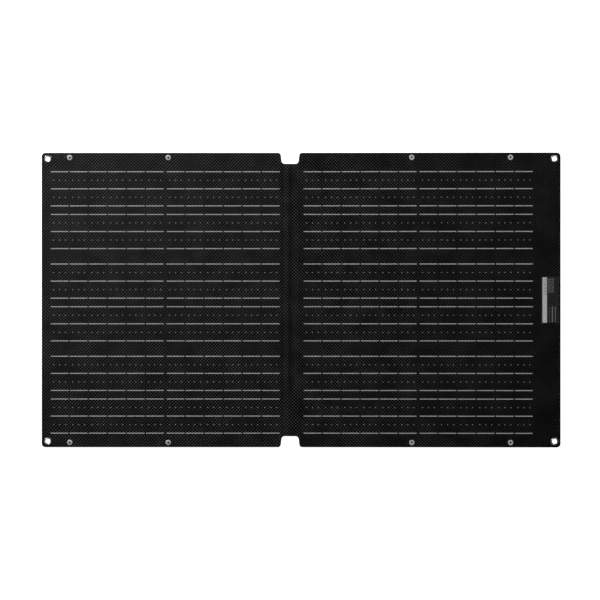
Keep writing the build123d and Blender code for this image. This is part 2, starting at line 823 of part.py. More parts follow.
def socket_insert():
    floor = SHELL_FLANGE_T - PLUG_ENGAGEMENT
    with BuildPart() as insert:
        with BuildSketch(socket_plane(floor)):
            Circle(INSERT_R)
            with poles():
                Circle(CONTACT_R + FIT, mode=Mode.SUBTRACT)
        extrude(amount=SHELL_INSIDE + floor + 1)
    return insert.part


def socket_contacts():
    """Two tubes that take the plug's pins, closed behind and ending in solder tails."""
    floor = SHELL_FLANGE_T - PLUG_ENGAGEMENT
    length = SHELL_INSIDE + floor + CONTACT_TAIL
    with BuildPart() as contacts:
        with BuildSketch(socket_plane(floor)):
            with poles():
                Circle(CONTACT_R)
        extrude(amount=length)
        with BuildSketch(socket_plane(floor)):
            with poles():
                Circle(CONTACT_BORE_R)
        extrude(amount=length - CONTACT_TAIL, mode=Mode.SUBTRACT)
    return contacts.part


def output_wires():
    start = SHELL_INSIDE + CONTACT_TAIL
    tab_face = BOX_LENGTH / 2 + TAB_Y - TAB[1] / 2
    with BuildPart() as wires:
        with BuildSketch(socket_plane(-start)):
            with poles():
                Circle(WIRE_R)
        extrude(amount=tab_face - start)
    return wires.part


def rating_label():
    with BuildPart() as label:
        with BuildSketch(RIGHT.rear.offset(FILM_TOP)):
            with Locations((LABEL_REACH, 0)):
                RectangleRounded(*LABEL_SIZE, 1.5)
        extrude(amount=LABEL_T)
    return label.part


# ---- The whole blanket

for leaf in (LEFT, RIGHT):
    leaf_cells = save(cells(leaf), f"{leaf.name}_cells")
    channels = line_channels(leaf)
    save(cell_ribbons(leaf), f"{leaf.name}_cell_ribbons")
    buses = save(bus_ribbons(leaf), f"{leaf.name}_bus_ribbons")
    leads = save(hinge_leads(leaf), f"{leaf.name}_hinge_leads")
    through = [slot_cutters(BUS_BOTTOM, 0)] if leaf is RIGHT else []
    save(front_film(leaf), f"{leaf.name}_front_film")
    save(front_encapsulant(leaf, leaf_cells, channels), f"{leaf.name}_front_encapsulant")
    rear_layer = rear_encapsulant(leaf, leaf_cells, channels, buses, leads, *through)
    save(rear_layer, f"{leaf.name}_rear_encapsulant")
    save(cut(backing_board(leaf), *through), f"{leaf.name}_backing_board")
    save(cut(rear_cover(leaf, leads), *through), f"{leaf.name}_rear_cover")
    save(placed(leaf, eyelet(), leaf.eyelet_places()), f"{leaf.name}_eyelets")
    save(placed(leaf, eyelet_washer(), leaf.eyelet_places()), f"{leaf.name}_eyelet_washers")

save(placed(LEFT, snap_stud(), LEFT.snap_places()), "snap_studs")
save(placed(LEFT, snap_foot(), LEFT.snap_places()), "snap_stud_posts")
save(placed(RIGHT, snap_socket(), RIGHT.snap_places()), "snap_sockets")
save(placed(RIGHT, snap_spring(), RIGHT.snap_places()), "snap_socket_springs")
save(placed(RIGHT, snap_foot(), RIGHT.snap_places()), "snap_socket_posts")

for make in (
    rating_label,
    lead_outs,
    box_pad,
    box_base,
    box_gasket,
    box_lid,
    lid_screws,
    circuit_board,
    board_screws,
    blocking_diodes,
    terminal_tabs,
    output_wires,
    socket_shell,
    socket_nut,
    socket_insert,
    socket_contacts,
):
    save(make(), make.__name__)

print(f"fold at x = {FOLD_X:.4f}, fold axis at z = {AXIS_Z:.4f}, tilt {degrees(TILT):.4f} degrees")
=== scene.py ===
"""The looks of a folding solar blanket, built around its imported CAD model. Metres throughout."""

import json
from math import cos, pi, radians, sin

import bmesh
import bpy
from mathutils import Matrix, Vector


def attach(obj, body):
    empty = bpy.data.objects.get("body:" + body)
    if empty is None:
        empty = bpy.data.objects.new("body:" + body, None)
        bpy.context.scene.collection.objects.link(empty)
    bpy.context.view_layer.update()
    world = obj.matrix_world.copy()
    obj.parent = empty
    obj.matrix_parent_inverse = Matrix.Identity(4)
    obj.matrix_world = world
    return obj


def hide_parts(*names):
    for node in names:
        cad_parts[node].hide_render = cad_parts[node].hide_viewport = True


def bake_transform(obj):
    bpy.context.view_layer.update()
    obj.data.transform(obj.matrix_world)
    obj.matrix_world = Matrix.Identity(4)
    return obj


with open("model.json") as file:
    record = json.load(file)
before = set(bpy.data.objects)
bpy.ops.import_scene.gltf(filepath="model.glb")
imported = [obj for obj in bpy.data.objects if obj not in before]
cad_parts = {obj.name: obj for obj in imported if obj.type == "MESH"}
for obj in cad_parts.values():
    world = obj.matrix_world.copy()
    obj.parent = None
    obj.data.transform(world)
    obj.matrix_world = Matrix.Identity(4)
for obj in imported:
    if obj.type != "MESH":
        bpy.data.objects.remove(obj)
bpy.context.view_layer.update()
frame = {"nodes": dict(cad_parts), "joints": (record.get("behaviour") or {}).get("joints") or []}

MM = 0.001
FOLD = frame["joints"][0]
AXIS = Vector(FOLD["pos_m"])
TILT = -radians(FOLD["range_deg"][0])  # how far the right leaf is raised about the fold at rest
BODIES = {"left": "left_leaf", "right": "right_leaf"}

# ---- Places on the leaves: x from the fold line along the leaf, y along the fold, z from the axis


def flat_place(point):
    """Where a point of the model lies on its leaf, with the right leaf's tilt taken out."""
    across, up = point.x - AXIS.x, point.z - AXIS.z
    turn = TILT if across > 0 else 0
    along = across * cos(turn) + up * sin(turn)
    return Vector((along, point.y, up * cos(turn) - across * sin(turn)))


def rest_place(x, y, z):
    """The point of the model at rest for a place on a leaf."""
    turn = TILT if x > 0 else 0
    return AXIS + Vector((x * cos(turn) - z * sin(turn), y, x * sin(turn) + z * cos(turn)))


def flat_points(node):
    """The places on its leaf of all a node's points."""
    return [flat_place(v.co) for v in frame["nodes"][node].data.vertices]


def flat_box(node):
    """The lowest and highest corners of a node on its leaf."""
    points = flat_points(node)
    return [[pick(p[axis] for p in points) for axis in range(3)] for pick in (min, max)]


def spans(values):
    """Sorted (low, high) pairs from the distinct values at which a node's solids start and end."""
    edges = sorted({round(value, 5) for value in values})
    return list(zip(edges[::2], edges[1::2]))


# ---- Shader helpers


def material(name):
    made = bpy.data.materials.new(name)
    made.use_nodes = True
    return made, made.node_tree, made.node_tree.nodes["Principled BSDF"]


def put(tree, kind, values=None, **settings):
    """A new node. values are numbers, colours or sockets for its inputs, by name or place."""
    node = tree.nodes.new("ShaderNode" + kind)
    for key, value in settings.items():
        setattr(node, key, value)
    for key, value in (values or {}).items():
        feed(tree, value, node.inputs[key])
    return node


def feed(tree, value, socket):
    if isinstance(value, bpy.types.NodeSocket):
        tree.links.new(value, socket)
    else:
        socket.default_value = value


def maths(tree, operation, *values):
    return put(tree, "Math", dict(enumerate(values)), operation=operation).outputs[0]


def object_place(tree):
    return put(tree, "TexCoord").outputs["Object"]


def parts_of(tree, vector):
    return put(tree, "SeparateXYZ", {"Vector": vector}).outputs


def noise(tree, place, size, detail=3.0, stretch=(1, 1, 1)):
    """Noise from 0 to 1 whose lumps are about size metres across."""
    scaled = put(tree, "VectorMath", {0: place, 1: stretch}, operation="MULTIPLY").outputs[0]
    slots = {"Vector": scaled, "Scale": 1 / size, "Detail": detail}
    return put(tree, "TexNoise", slots).outputs["Fac"]


def spread(tree, value, low, high, start=0.0, end=1.0):
    """value from start..end, stretched to low..high and clamped."""
    slots = {"Value": value, "From Min": start, "From Max": end, "To Min": low, "To Max": high}
    return put(tree, "MapRange", slots).outputs[0]


def mixed(tree, factor, first, second):
    """A colour between two colours."""
    return put(tree, "Mix", {0: factor, 6: first, 7: second}, data_type="RGBA").outputs[2]


def bump(tree, height, distance):
    return put(tree, "Bump", {"Height": height, "Distance": distance}).outputs["Normal"]


def grey(level):
    return (level, level, level, 1)


def shaded(colour, share):
    """A colour made darker or lighter."""
    return tuple(share * part for part in colour[:3]) + (1,)


def wave(tree, along, period):
    """A sine of the distance along, from 0 to 1."""
    phase = maths(tree, "MULTIPLY", along, 2 * pi / period)
    return maths(tree, "MULTIPLY_ADD", maths(tree, "SINE", phase), 0.5, 0.5)


def lines(tree, along, period, width):
    """1 on lines that repeat with the period, 0 between them."""
    phase = maths(tree, "FRACT", maths(tree, "DIVIDE", along, period))
    return maths(tree, "LESS_THAN", phase, width / period)


# ---- Materials

EMBOSS = 6.9 * MM  # spacing of the film's ridges
EMBOSS_DEPTH = 0.5 * MM
CROSSING = (0.25, 0.56)  # least and most height of the crossing ridges against the main ones
CROSSING_PATCH = 45 * MM  # that height varies in patches of about this size
HANDOVER = 2 * MM  # the main ridges change direction this far either side of the fold
RELIEF_ROUGH = (0.36, 0.28, 0.2, 1.3)  # roughness low and high on the relief, and those heights
RELIEF_HAZE = (0.02, 0.045, 0.2, 1.4)  # the same for the film's haze
PAINTED_GLINT_HEIGHTS = (0.90, 1.45)  # a ridge's painted highlight goes from none to full between these heights
PAINTED_GLINT_LEFT, PAINTED_GLINT_RIGHT = 0.155, 0.065  # how bright the painted highlight is near the fold and at the right edge, a painted fall of light
PAINTED_LIGHT_FADE = (100 * MM, 540 * MM)  # where it goes from the one to the other
SHEEN = 0.1
FILM_TINT, CLEAR_TINT = grey(0.98), grey(0.99)
CLEAR_HAZE = (0.01, 0.03)
CLOUD = 30 * MM
CELL_SHADES = (0.0010, 0.0012, 0.0030, 1), (0.0020, 0.0023, 0.0050, 1)
FINGER_PITCH = 1.35 * MM
FINGER_WIDTH = 0.09 * MM
FINGER_TONE = grey(0.02)
LAYER_SHADES = grey(0.001), grey(0.004)
NOISE_MIDDLE = (0.3, 0.7)  # nearly all of a noise's values lie between these
SNAP_R = 5.5 * MM
SNAP_HOLLOW = (1.7 * MM, 2.3 * MM)  # the painted shade in a snap's dark middle fades out between these radii
PAINTED_HOLLOW_SHADE = grey(0.015)
THREAD = 0.9 * MM
SLUB = 7 * MM  # thickness of the fabric's streaks
SLUB_LONG = 0.06  # their thickness over their length
SLUB_HEIGHT = 0.8  # against the weave's height
FABRIC_SHADES = grey(0.006), grey(0.055)
TRACK, TRACK_PITCH = 1.6 * MM, 4.2 * MM
CROSS_TRACK, CROSS_PITCH = 2 * MM, 13 * MM
MASK_SHADES = (0.010, 0.060, 0.022, 1), (0.018, 0.120, 0.045, 1)


def sheet_place(tree):
    """Place on the leaves for a sheet that has the flat map."""
    return put(tree, "UVMap", uv_map="Flat").outputs["UV"]


def node_place(tree):
    """Place on the leaves for a piece that keeps its place at rest in its mesh."""
    slots = {0: object_place(tree), 1: AXIS[:]}
    return put(tree, "VectorMath", slots, operation="SUBTRACT").outputs[0]


def emboss(tree, where):
    """The film's raised diamonds: two crossed sets of ridges, one stronger on each leaf."""
    place = parts_of(tree, where)
    rising = wave(tree, maths(tree, "SUBTRACT", place[0], place[1]), EMBOSS)
    falling = wave(tree, maths(tree, "ADD", place[0], place[1]), EMBOSS)
    on_right = spread(tree, place[0], 0, 1, -HANDOVER, HANDOVER)
    main = put(tree, "Mix", {0: on_right, 2: rising, 3: falling}).outputs[0]
    other = put(tree, "Mix", {0: on_right, 2: falling, 3: rising}).outputs[0]
    share = spread(tree, noise(tree, where, CROSSING_PATCH, 2), *CROSSING, 0.35, 0.65)
    return maths(tree, "MULTIPLY_ADD", other, share, main)


def relief(tree, shader, height):
    """The ridges' gloss and surface."""
    feed(tree, spread(tree, height, *RELIEF_ROUGH), shader.inputs["Roughness"])
    feed(tree, bump(tree, height, EMBOSS_DEPTH), shader.inputs["Normal"])


def see_through(made, tree, shader, haze, tint):
    """Lets the surface through, except for a share that the shader itself gives."""
    clear = put(tree, "BsdfTransparent", {"Color": tint}).outputs[0]
    mix = put(tree, "MixShader", {0: haze, 1: clear, 2: shader.outputs[0]})
    tree.links.new(mix.outputs[0], tree.nodes["Material Output"].inputs["Surface"])
    return made


def film():
    """The film's outer face: clear, with a little gloss and haze on its ridges."""
    made, tree, shader = material("textured_film")
    height = emboss(tree, sheet_place(tree))
    shader.inputs["Base Color"].default_value = grey(0.02)
    relief(tree, shader, height)
    return see_through(made, tree, shader, spread(tree, height, *RELIEF_HAZE), FILM_TINT)


def painted_sheen(tree, shader, where, valley):
    """Dark layers are bonded to the film and take its relief; its ridges are painted pale on them
    as painted highlights, with painted light that fades from near the fold to the right edge.
    """
    height = emboss(tree, where)
    # painted light: the highlight is painted stronger near the fold than at the right edge
    pale = spread(tree, parts_of(tree, where)[0], PAINTED_GLINT_LEFT, PAINTED_GLINT_RIGHT, *PAINTED_LIGHT_FADE)
    painted_glint = maths(tree, "MULTIPLY", spread(tree, height, 0, 1, *PAINTED_GLINT_HEIGHTS), pale)
    # painted highlight: the tops of the ridges are painted pale
    feed(tree, mixed(tree, painted_glint, valley, grey(1.0)), shader.inputs["Base Color"])
    relief(tree, shader, height)
    shader.inputs["Specular IOR Level"].default_value = SHEEN


def clear_layer(name):
    """A clear layer or the film's inner face, with only a trace of cloud in it."""
    made, tree, shader = material(name)
    cloud = noise(tree, object_place(tree), CLOUD)
    shader.inputs["Base Color"].default_value = grey(0.01)
    shader.inputs["Specular IOR Level"].default_value = SHEEN
    feed(tree, spread(tree, cloud, 0.35, 0.5), shader.inputs["Roughness"])
    haze = spread(tree, cloud, *CLEAR_HAZE, *NOISE_MIDDLE)
    return see_through(made, tree, shader, haze, CLEAR_TINT)


def silicon():
    """Blue-black cells with fine printed fingers, no two strips quite the same shade."""
    made, tree, shader = material("silicon")
    place = parts_of(tree, object_place(tree))
    strip = put(tree, "NewGeometry").outputs["Random Per Island"]
    shade = mixed(tree, strip, *CELL_SHADES)
    finger = lines(tree, place[0], FINGER_PITCH, FINGER_WIDTH)
    # the cells get the film's ridges as painted highlights
    painted_sheen(tree, shader, node_place(tree), mixed(tree, finger, shade, FINGER_TONE))
    return made


def metal(name, colour, rough, size, metallic=1.0, depth=0.0, stretch=(1, 1, 1)):
    """Bare or plated metal: its gloss, and with depth its surface too, vary with fine noise."""
    made, tree, shader = material(name)
    grain = noise(tree, object_place(tree), size, 4, stretch)
    shader.inputs["Metallic"].default_value = metallic
    bright = spread(tree, grain, 0, 1, 0.35, 0.7)
    feed(tree, mixed(tree, bright, shaded(colour, 0.82), colour), shader.inputs["Base Color"])
    feed(tree, spread(tree, grain, *rough, *NOISE_MIDDLE), shader.inputs["Roughness"])
    if depth:
        feed(tree, bump(tree, grain, depth), shader.inputs["Normal"])
    return made


def satin():
    """Satin plating for the snaps, with painted shade that darkens the hollow at the middle of
    each.
    """
    made = metal("satin_nickel", (0.94, 0.93, 0.91, 1), (0.36, 0.46), 1.5 * MM, 0.3, 0.01 * MM)
    tree = made.node_tree
    low, high = flat_box("snap_studs")
    place = parts_of(tree, node_place(tree))
    across, along = maths(tree, "ABSOLUTE", place[0]), maths(tree, "ABSOLUTE", place[1])
    outer = maths(tree, "ABSOLUTE", maths(tree, "SUBTRACT", across, -low[0] - SNAP_R))
    inner = maths(tree, "ABSOLUTE", maths(tree, "SUBTRACT", across, -high[0] + SNAP_R))
    nearer = maths(tree, "MINIMUM", outer, inner)
    aside = maths(tree, "SUBTRACT", along, high[1] - SNAP_R)
    offset = put(tree, "CombineXYZ", {0: nearer, 1: aside}).outputs[0]
    radius = put(tree, "VectorMath", {0: offset}, operation="LENGTH").outputs["Value"]
    colour = tree.nodes["Principled BSDF"].inputs["Base Color"]
    plated = colour.links[0].from_socket
    # painted shade: the plating is darkened in each snap's hollow middle
    feed(tree, mixed(tree, spread(tree, radius, 0, 1, *SNAP_HOLLOW), PAINTED_HOLLOW_SHADE, plated), colour)
    return made


def moulded(name, colour, rough, size, depth=0.03 * MM):
    """Moulded plastic or rubber: a spark-eroded grain and a faint cloudiness."""
    made, tree, shader = material(name)
    place = object_place(tree)
    grain = noise(tree, place, size, 4)
    cloud = spread(tree, noise(tree, place, 40 * size), 0, 1, *NOISE_MIDDLE)
    feed(tree, mixed(tree, cloud, colour, shaded(colour, 1.35)), shader.inputs["Base Color"])
    feed(tree, spread(tree, grain, *rough, *NOISE_MIDDLE), shader.inputs["Roughness"])
    feed(tree, bump(tree, grain, depth), shader.inputs["Normal"])
    return made


def black_layer(name, place_of):
    """Black laminating layer, a little uneven in shade."""
    made, tree, shader = material(name)
    cloud = noise(tree, object_place(tree), 25 * MM)
    # this layer gets the film's ridges as painted highlights
    painted_sheen(tree, shader, place_of(tree), mixed(tree, cloud, *LAYER_SHADES))
    return made


def rear_fabric():
    """Coated plain weave of fine threads, with thicker ones that show as faint streaks."""
    made, tree, shader = material("rear_fabric")
    flat = sheet_place(tree)
    place = parts_of(tree, flat)
    warp, weft = wave(tree, place[0], THREAD), wave(tree, place[1], THREAD)
    weave = maths(tree, "MULTIPLY", warp, weft)
    stretches = (1, SLUB_LONG, 1), (SLUB_LONG, 1, 1)
    streaks = maths(tree, "ADD", *[noise(tree, flat, SLUB, 4, stretch) for stretch in stretches])
    height = maths(tree, "MULTIPLY_ADD", streaks, SLUB_HEIGHT, weave)
    tone = spread(tree, height, 0, 1, 0.5, 1.6)
    feed(tree, mixed(tree, tone, *FABRIC_SHADES), shader.inputs["Base Color"])
    feed(tree, spread(tree, weave, 0.75, 0.55), shader.inputs["Roughness"])
    feed(tree, bump(tree, height, 0.12 * MM), shader.inputs["Normal"])
    return made


def circuit_laminate():
    """Solder mask over copper: the tracks show as a slightly lighter, raised green."""
    made, tree, shader = material("circuit_laminate")
    place = parts_of(tree, object_place(tree))
    tracks = lines(tree, place[0], TRACK_PITCH, TRACK)
    track = maths(tree, "MAXIMUM", tracks, lines(tree, place[1], CROSS_PITCH, CROSS_TRACK))
    feed(tree, mixed(tree, track, *MASK_SHADES), shader.inputs["Base Color"])
    feed(tree, bump(tree, track, 0.035 * MM), shader.inputs["Normal"])
    shader.inputs["Roughness"].default_value = 0.3
    return made


def printed(name, colour, size=3 * MM):
    """Ink on a satin label: even, with a faint mottle."""
    made, tree, shader = material(name)
    mottle = spread(tree, noise(tree, object_place(tree), size, 4), 0, 1, *NOISE_MIDDLE)
    feed(tree, mixed(tree, mottle, shaded(colour, 0.86), colour), shader.inputs["Base Color"])
    feed(tree, spread(tree, mottle, 0.38, 0.5), shader.inputs["Roughness"])
    return made


NICKEL = metal("nickel", (0.80, 0.79, 0.77, 1), (0.16, 0.30), 1.5 * MM, depth=0.01 * MM)
RIBBON_GRAIN = (0.2, 1, 1)  # drawn out along the ribbons
TIN_TONE = (0.96, 0.96, 0.97, 1)
TIN = metal("tinned_ribbon", TIN_TONE, (0.42, 0.6), 1.2 * MM, 0.08, 0.02 * MM, RIBBON_GRAIN)
SATIN = satin()
PASTE = metal("silver_paste", (0.90, 0.90, 0.92, 1), (0.5, 0.65), 0.4 * MM, 0.1, 0.01 * MM)
STEEL = metal("screw_steel", (0.62, 0.62, 0.60, 1), (0.25, 0.4), 0.8 * MM, depth=0.01 * MM)
SPRING = metal("spring_wire", (0.55, 0.55, 0.56, 1), (0.25, 0.4), 0.6 * MM)
ANODISED = metal("socket_metal", (0.05, 0.05, 0.052, 1), (0.3, 0.42), 0.6 * MM, depth=0.01 * MM)
GOLD = metal("contact_metal", (0.85, 0.62, 0.26, 1), (0.15, 0.28), 0.5 * MM)
BLACK_LAYER = black_layer("black_encapsulant", node_place)
COVER_FRONT = black_layer("cover_front", sheet_place)
SLEEVE = black_layer("lead_sleeve", sheet_place)
BOARD = moulded("glass_fibre_board", grey(0.014), (0.4, 0.55), 1.0 * MM, 0.02 * MM)
BOX_PLASTIC = moulded("box_plastic", grey(0.014), (0.45, 0.6), 0.45 * MM, 0.035 * MM)
RUBBER = moulded("seal_rubber", grey(0.02), (0.65, 0.8), 0.6 * MM)
FOAM = moulded("bonding_pad", grey(0.03), (0.8, 0.9), 0.5 * MM, 0.08 * MM)
COMPONENT = moulded("component_body", grey(0.018), (0.5, 0.65), 0.3 * MM)
JACKET = moulded("wire_jacket", (0.30, 0.015, 0.012, 1), (0.35, 0.5), 0.8 * MM)
LABEL = printed("label_stock", grey(0.022))
LABEL_BAR = printed("label_bar", grey(0.82))
LABEL_MARKS = printed("label_marks", grey(0.42), 1.5 * MM)
FABRIC = rear_fabric()
FILM = film()
FILM_INSIDE = clear_layer("film_inside")
CLEAR_LAYER = clear_layer("clear_encapsulant")

FINISHES = {
    "cells": silicon(),
    "cell_ribbons": TIN,
    "bus_ribbons": TIN,
    "rear_encapsulant": BLACK_LAYER,
    "backing_board": BOARD,
    "eyelets": NICKEL,
    "eyelet_washers": NICKEL,
    "snap_studs": SATIN,
    "snap_stud_posts": SATIN,
    "snap_sockets": SATIN,
    "snap_socket_posts": SATIN,
    "snap_socket_springs": SPRING,
    "rating_label": LABEL,
    "lead_outs": TIN,
    "box_pad": FOAM,
    "box_base": BOX_PLASTIC,
    "box_gasket": RUBBER,
    "box_lid": BOX_PLASTIC,
    "lid_screws": STEEL,
    "circuit_board": circuit_laminate(),
    "board_screws": STEEL,
    "blocking_diodes": COMPONENT,
    "terminal_tabs": TIN,
    "output_wires": JACKET,
    "socket_shell": ANODISED,
    "socket_nut": ANODISED,
    "socket_insert": COMPONENT,
    "socket_contacts": GOLD,
}


def dress(node, finish):
    """Gives a CAD node its material, in every slot that it has."""
    slots = node.data.materials
    slots.clear()
    slots.append(finish)


for name, node in frame["nodes"].items():
    kind = name.removeprefix("left_").removeprefix("right_")
    if kind in FINISHES:
        dress(node, FINISHES[kind])

# ---- Sheets that run on across the fold

WEB_CUTS = 24
BEND_REACH = 7.0 * MM
SEAM_REACH = 0.5 * MM  # points nearer to the fold than this are at a half's cut edge
SEAM_MERGE = 0.05 * MM
SAME_POINT = 0.001 * MM


def new_object(name, mesh, finish):
    made = bpy.data.objects.new(name, mesh)
    mesh.materials.append(finish)
    bpy.context.scene.collection.objects.link(made)
    return made


def one_sheet(name, upper, lower):
    """Joins a layer's two halves into one piece, cut finely across the fold."""
    halves = [frame["nodes"][f"{side}_{name}"] for side in BODIES]
    sheet = bmesh.new()
    for half in halves:
        sheet.from_mesh(half.data)
    bmesh.ops.remove_doubles(sheet, verts=sheet.verts, dist=SAME_POINT)
    seam = [v for v in sheet.verts if abs(v.co.x - AXIS.x) < SEAM_REACH]
    for vertex in seam:
        vertex.co.x = AXIS.x
    bmesh.ops.remove_doubles(sheet, verts=seam, dist=SEAM_MERGE)
    inside = [f for f in sheet.faces if all(abs(v.co.x - AXIS.x) < SAME_POINT for v in f.verts)]
    bmesh.ops.delete(sheet, geom=inside, context="FACES")
    everywhere = {"verts": sheet.verts, "edges": sheet.edges}
    bmesh.ops.dissolve_limit(sheet, angle_limit=radians(0.05), **everywhere)
    for cut in range(WEB_CUTS + 1):
        where = AXIS.x + BEND_REACH * (2 * cut / WEB_CUTS - 1)
        everything = sheet.verts[:] + sheet.edges[:] + sheet.faces[:]
        plane = {"plane_co": (where, 0, 0), "plane_no": (1, 0, 0)}
        bmesh.ops.bisect_plane(sheet, geom=everything, dist=1e-7, **plane)
    bmesh.ops.triangulate(sheet, faces=[f for f in sheet.faces if len(f.verts) > 4])
    flat = sheet.loops.layers.uv.new("Flat")
    for face in sheet.faces:
        face.smooth = True
        face.material_index = 1 if face.normal.z < 0 else 0
        for loop in face.loops:
            loop[flat].uv = flat_place(loop.vert.co).xy
    for edge in sheet.edges:
        edge.smooth = len(edge.link_faces) == 2 and edge.calc_face_angle(0) < radians(35)
    mesh = bpy.data.meshes.new(name)
    sheet.to_mesh(mesh)
    sheet.free()
    made = new_object(name, mesh, upper)
    mesh.materials.append(lower)
    start, end = AXIS.copy(), AXIS.copy()
    start.x -= BEND_REACH
    end.x += BEND_REACH
    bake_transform(made)
    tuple(start)
    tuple(end)
    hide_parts(*[half.name for half in halves])
    return made


front_film = one_sheet("front_film", FILM, FILM_INSIDE)
rear_cover = one_sheet("rear_cover", COVER_FRONT, FABRIC)
hinge_leads = one_sheet("hinge_leads", SLEEVE, SLEEVE)

left_edge, right_edge = flat_box("left_rear_cover")[0], flat_box("right_rear_cover")[1]

# ---- Clear layer over the cells, drawn in a little so that no face lies on another layer's

SHRINK = 0.015 * MM


def shrunk_copy(name, node, finish):
    """A copy of a node's mesh with every point drawn in along its normal."""
    mesh = bmesh.new()
    mesh.from_mesh(frame["nodes"][node].data)
    mesh.normal_update()
    for vertex, inwards in [(v, v.normal.copy()) for v in mesh.verts]:
        vertex.co -= inwards * SHRINK
    data = bpy.data.meshes.new(name)
    mesh.to_mesh(data)
    mesh.free()
    return new_object(name, data, finish)


for side, body in BODIES.items():
    copied = f"{side}_front_encapsulant"
    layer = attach(shrunk_copy(f"{side}_clear_layer", copied, CLEAR_LAYER), body)
    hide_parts(copied)

# ---- Printed solder pads, between the soldered lines of each row

ROWS = 3
PADS_PER_STRIP = 3
PAD = (2.1 * MM, 1.1 * MM)
PAD_CORNER = 0.3 * MM
PAD_T = 0.02 * MM
BUSBARS = 10


def rounded(size, corner, steps=2):
    """The outline of a rectangle with rounded corners, as (x, y) points round its centre."""
    half_x, half_y = size[0] / 2 - corner, size[1] / 2 - corner
    points = []
    for quarter, (sx, sy) in enumerate(((1, 1), (-1, 1), (-1, -1), (1, -1))):
        for step in range(steps + 1):
            turn = (quarter + step / steps) * pi / 2
            points.append((sx * half_x + corner * cos(turn), sy * half_y + corner * sin(turn)))
    return points


def box_outline(low, high):
    """A rectangle's outline round its centre, and that centre, from its corners on the leaf."""
    half_x, half_y = (high[0] - low[0]) / 2, (high[1] - low[1]) / 2
    corners = [(half_x, half_y), (-half_x, half_y), (-half_x, -half_y), (half_x, -half_y)]
    return corners, (low[0] + half_x, low[1] + half_y)


def add_plate(mesh, outline, centre, thickness):
    """A flat plate on a leaf. centre is its underside's place."""
    x, y, z = centre
    low = [mesh.verts.new(rest_place(x + px, y + py, z)) for px, py in outline]
    high = [mesh.verts.new(rest_place(x + px, y + py, z + thickness)) for px, py in outline]
    mesh.faces.new(list(reversed(low)))
    mesh.faces.new(high)
    for i in range(len(outline)):
        j = (i + 1) % len(outline)
        mesh.faces.new((low[i], low[j], high[j], high[i]))


def plates(name, finish, body, items, thickness):
    """One piece of many plates. items are (outline, centre)."""
    mesh = bmesh.new()
    for outline, centre in items:
        add_plate(mesh, outline, centre, thickness)
    data = bpy.data.meshes.new(name)
    mesh.to_mesh(data)
    mesh.free()
    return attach(new_object(name, data, finish), body)


def pad_places(side):
    """Three pads on each strip, along each of the row's busbars that has no ribbon."""
    points = flat_points(f"{side}_cells")
    top = max(p.z for p in points)
    ribbon_ys = spans([p.y for p in flat_points(f"{side}_cell_ribbons")])
    lines_y = [(low + high) / 2 for low, high in ribbon_ys]
    per_row = len(lines_y) // ROWS
    for row in range(ROWS):
        soldered = lines_y[row * per_row:(row + 1) * per_row]
        pitch = (soldered[-1] - soldered[0]) / (BUSBARS - 1)
        for number in range(BUSBARS):
            y = soldered[0] + number * pitch
            if min(abs(y - other) for other in soldered) > pitch / 2:
                for low, high in spans([p.x for p in points]):
                    third = (high - low) / PADS_PER_STRIP
                    for pad in range(PADS_PER_STRIP):
                        yield (low + (pad + 0.5) * third, y, top)


for side, body in BODIES.items():
    outline = rounded(PAD, PAD_CORNER)
    items = [(outline, place) for place in pad_places(side)]
    pads = plates(f"{side}_solder_pads", PASTE, body, items, PAD_T)

# ---- Black layer that has risen between the strips and over the ribbons' ends

BAR_T = 0.32 * MM
BAR_SUNK = 0.01 * MM
RIBBON_COVER = 0.4 * MM


def gap_bars(side):
    """A bar in every gap of every row, and one over each end of its ribbons."""
    points = flat_points(f"{side}_cells")
    strips, rows = spans([p.x for p in points]), spans([p.y for p in points])
    floor = flat_box(f"{side}_rear_encapsulant")[1][2]
    ribbon_low, ribbon_high = flat_box(f"{side}_cell_ribbons")
    starts = [ribbon_low[0] - RIBBON_COVER] + [high for _, high in strips]
    ends = [low for low, _ in strips] + [ribbon_high[0] + RIBBON_COVER]
    for row_low, row_high in rows:
        for start, end in zip(starts, ends):
            outline, (x, y) = box_outline((start, row_low), (end, row_high))
            yield outline, (x, y, floor - BAR_SUNK)


for side, body in BODIES.items():
    bars = plates(f"{side}_gap_bars", BLACK_LAYER, body, list(gap_bars(side)), BAR_T)

# ---- Print on the label: one pale bar, and faint blocks and rules that say nothing

PRINT_T = 0.01 * MM
BAR = (9.4 * MM, 95 * MM)
BAR_CORNER = 0.6 * MM
BAR_IN = 8.15 * MM  # from the label's left edge to the bar's middle
MARK_CORNER = 0.25 * MM
BAR_MARK = (1.1 * MM, 1.5 * MM)
BAR_MARK_STEP = (2.3 * MM, 3.2 * MM)
BAR_MARKS_FROM = 6.0 * MM  # below the label's upper edge
COLUMNS_IN, COLUMN_STEP = 17.8 * MM, 6.25 * MM
COLUMNS = (  # number, length and width of the rules in each
    (5, 3.0 * MM, 0.7 * MM),
    (8, 3.2 * MM, 1.8 * MM),
    (9, 2.8 * MM, 1.2 * MM),
)
COLUMN_HEIGHT, COLUMN_FROM = 33 * MM, 3.5 * MM
RULE_CORNER = 0.3 * MM
BLOCK_IN, BLOCK_FROM = 15.6 * MM, 4.5 * MM
BLOCK_STEP = (2.7 * MM, 5.1 * MM)
BLOCK_RULE_WIDTH = 0.9 * MM
BLOCK_RULE_LENGTHS = (3.2 * MM, 4.0 * MM, 2.4 * MM)
label_low, label_high = flat_box("rating_label")
label_top = label_high[2]
label_middle = (label_low[1] + label_high[1]) / 2

bar_x = label_low[0] + BAR_IN
bar_item = (rounded(BAR, BAR_CORNER), (bar_x, label_middle, label_top))
label_bar = plates("label_bar", LABEL_BAR, BODIES["right"], [bar_item], PRINT_T)


